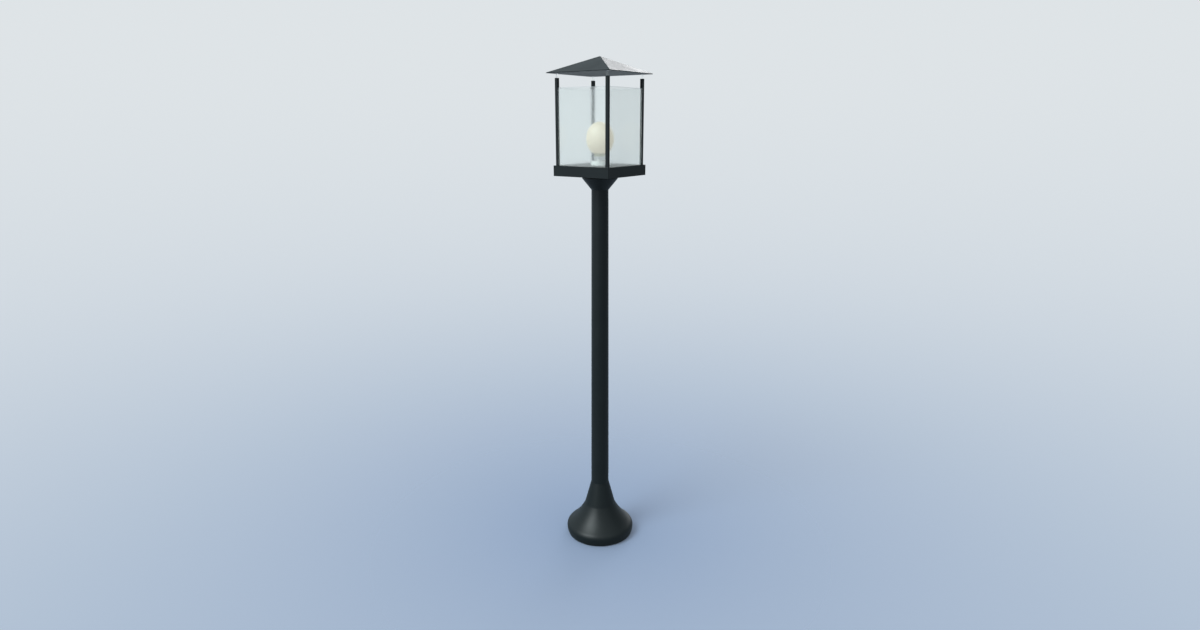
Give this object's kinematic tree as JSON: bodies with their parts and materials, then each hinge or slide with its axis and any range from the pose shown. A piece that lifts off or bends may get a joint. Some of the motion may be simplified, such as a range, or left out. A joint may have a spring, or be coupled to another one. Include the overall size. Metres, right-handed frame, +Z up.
{
  "type": "lantern floor lamp",
  "caption": "Square glazed lantern with slim corner posts and a low pyramid roof, on a tapered round pole with a weighted trumpet-shaped foot.",
  "frame": {"origin": "on the floor, in the middle of the foot, under the pole's axis", "axes": "+Z up along the pole; +X and -Y square out of two lantern faces, -Y the front; the cord inlet is at the rear, +Y"},
  "size_m": [0.174, 0.174, 1.2],
  "materials": {
    "black_paint": "satin powder coat",
    "grey_paint": "matt paint",
    "black_rubber": "matt",
    "zinc_steel": "zinc plated",
    "bright_steel": "polished stainless",
    "clear_acrylic": "clear, polished",
    "cast_iron": "as cast, primed",
    "pale_plastic": "matt",
    "brass": "plain",
    "cable_sheath": "matt",
    "wire_sleeve": "semi-gloss",
    "porcelain": "white glaze",
    "frosted_glass": "acid-etched, faint blue-green",
    "opal_glass": "opal, warm cream",
    "cap_metal": "plain",
    "black_glass": "gloss"
  },
  "bodies": {
    "root": {"foot_ring": "black_rubber", "base_plate": "zinc_steel", "ballast": "cast_iron", "ballast_screws": "zinc_steel", "base_bell": "black_paint", "bell_screws": "zinc_steel", "cord_grommet": "black_rubber", "pole_spigot": "zinc_steel", "spigot_screws": "zinc_steel", "terminal_block": "pale_plastic", "terminal_screws": "brass", "earth_screw": "brass", "inner_cable": "cable_sheath", "pole_tube": "black_paint", "pole_set_screws": "zinc_steel", "collar": "black_paint", "collar_set_screws": "zinc_steel", "collar_spacer": "black_paint", "threaded_tube": "zinc_steel", "tube_nuts": "zinc_steel", "tube_washer": "zinc_steel", "tray_shell": "black_paint", "tray_cover": "black_paint", "cover_screws": "zinc_steel", "post_front_left": "black_paint", "post_front_right": "black_paint", "post_rear_left": "black_paint", "post_rear_right": "black_paint", "post_screws": "zinc_steel", "seal_front": "black_rubber", "seal_right": "black_rubber", "seal_rear": "black_rubber", "seal_left": "black_rubber", "holder_bracket": "zinc_steel", "holder_screws": "zinc_steel", "lampholder": "porcelain", "screw_shell": "brass", "centre_contact": "brass", "core_wires": "wire_sleeve", "roof_studs": "clear_acrylic"},
    "front_pane": {"pane_front": "frosted_glass"},
    "right_pane": {"pane_right": "frosted_glass"},
    "rear_pane": {"pane_rear": "frosted_glass"},
    "left_pane": {"pane_left": "frosted_glass"},
    "bulb_rise": {"bulb_contact": "brass"},
    "bulb": {"bulb_glass": "opal_glass", "bulb_cap": "cap_metal", "bulb_insulator": "black_glass"},
    "roof": {"roof_shell": "black_paint", "roof_ceiling": "grey_paint", "roof_bushes": "bright_steel"}
  },
  "joints": [
    {"name": "roof_lift", "type": "slide", "parent": "root", "child": "roof", "axis": [0, 0, 1], "range_m": [0, 0.06]},
    {"name": "front_pane_lift", "type": "slide", "parent": "root", "child": "front_pane", "axis": [0, 0, 1], "range_m": [0, 0.028]},
    {"name": "right_pane_lift", "type": "slide", "parent": "root", "child": "right_pane", "axis": [0, 0, 1], "range_m": [0, 0.028]},
    {"name": "rear_pane_lift", "type": "slide", "parent": "root", "child": "rear_pane", "axis": [0, 0, 1], "range_m": [0, 0.028]},
    {"name": "left_pane_lift", "type": "slide", "parent": "root", "child": "left_pane", "axis": [0, 0, 1], "range_m": [0, 0.028]},
    {"name": "bulb_screw_rise", "type": "slide", "parent": "root", "child": "bulb_rise", "axis": [0, 0, 1], "range_m": [0, 0.0181]},
    {"name": "bulb_turn", "type": "hinge", "parent": "bulb_rise", "child": "bulb", "pos_m": [0, 0, 0.952], "axis": [0, 0, 1], "range_deg": [0, 1800]}
  ],
  "couplings": [
    {"joint": "bulb_screw_rise", "follows": "bulb_turn", "m_per_rad": 0.00057296}
  ]
}
